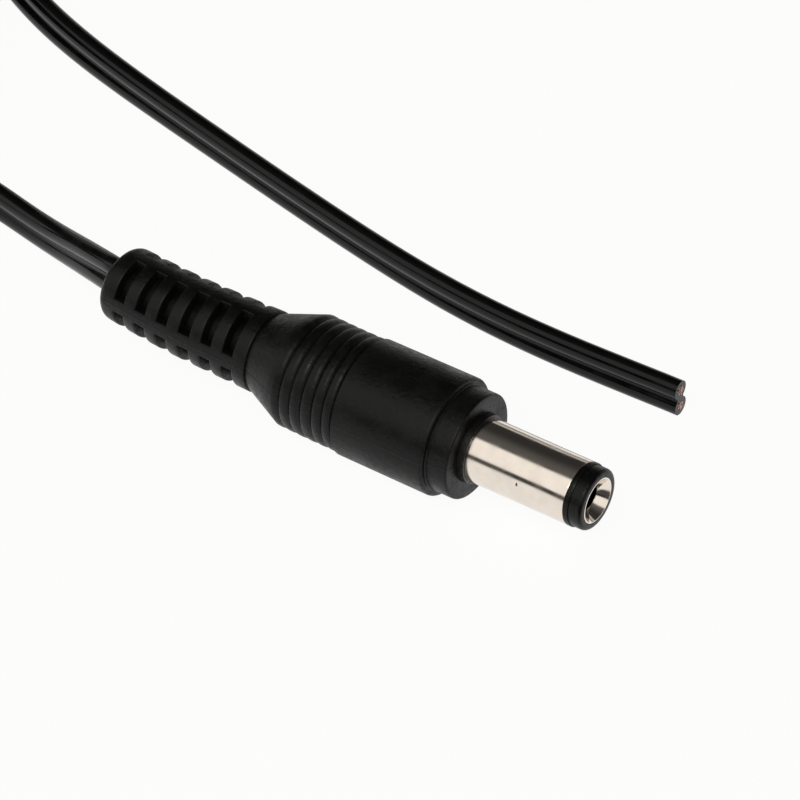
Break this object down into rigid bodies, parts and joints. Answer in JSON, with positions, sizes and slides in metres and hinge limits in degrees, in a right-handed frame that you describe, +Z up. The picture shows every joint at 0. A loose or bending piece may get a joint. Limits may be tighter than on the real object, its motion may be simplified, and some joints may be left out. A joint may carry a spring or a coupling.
{
  "type": "dc barrel plug",
  "caption": "Straight moulded DC barrel plug with a stepped tip, grip rings and a slotted strain relief, on a thin figure-8 twin lead that is laid in a coil and cut off flush.",
  "frame": {"origin": "centre of the shoulder, the front face of the collar that faces the socket, on the plug's axis", "axes": "+X along the plug's axis towards its tip, the way it goes into a socket; +Z up as the plug lies on a table, with the two cores of its lead one above the other; +Y across"},
  "size_m": [0.1307, 0.0546, 0.0102],
  "materials": {
    "moulding": "black flexible PVC, semi-matt",
    "inner_moulding": "black PVC, semi-matt",
    "sleeve_contact": "polished nickel plate on brass",
    "insulator": "black turned plastic, satin",
    "centre_contact": "nickel plate on brass",
    "terminal": "stamped and tinned",
    "jacket": "black PVC, slightly glossy",
    "copper": "bare stranded copper",
    "solder": "tin solder"
  },
  "bodies": {
    "root": {"overmould": "moulding", "inner_mould": "inner_moulding", "barrel": "sleeve_contact", "tip_insulator": "insulator", "centre_contact": "centre_contact", "rear_washer": "insulator", "sleeve_lug": "terminal", "cable_in_plug": "jacket", "conductor_sleeve": "copper", "conductor_centre": "copper", "solder_sleeve": "solder", "solder_centre": "solder", "cable_lead": "jacket", "cable_coil": "jacket", "cable_tail": "jacket", "cable_end": "jacket", "strands_upper": "copper", "strands_lower": "copper"}
  },
  "joints": []
}
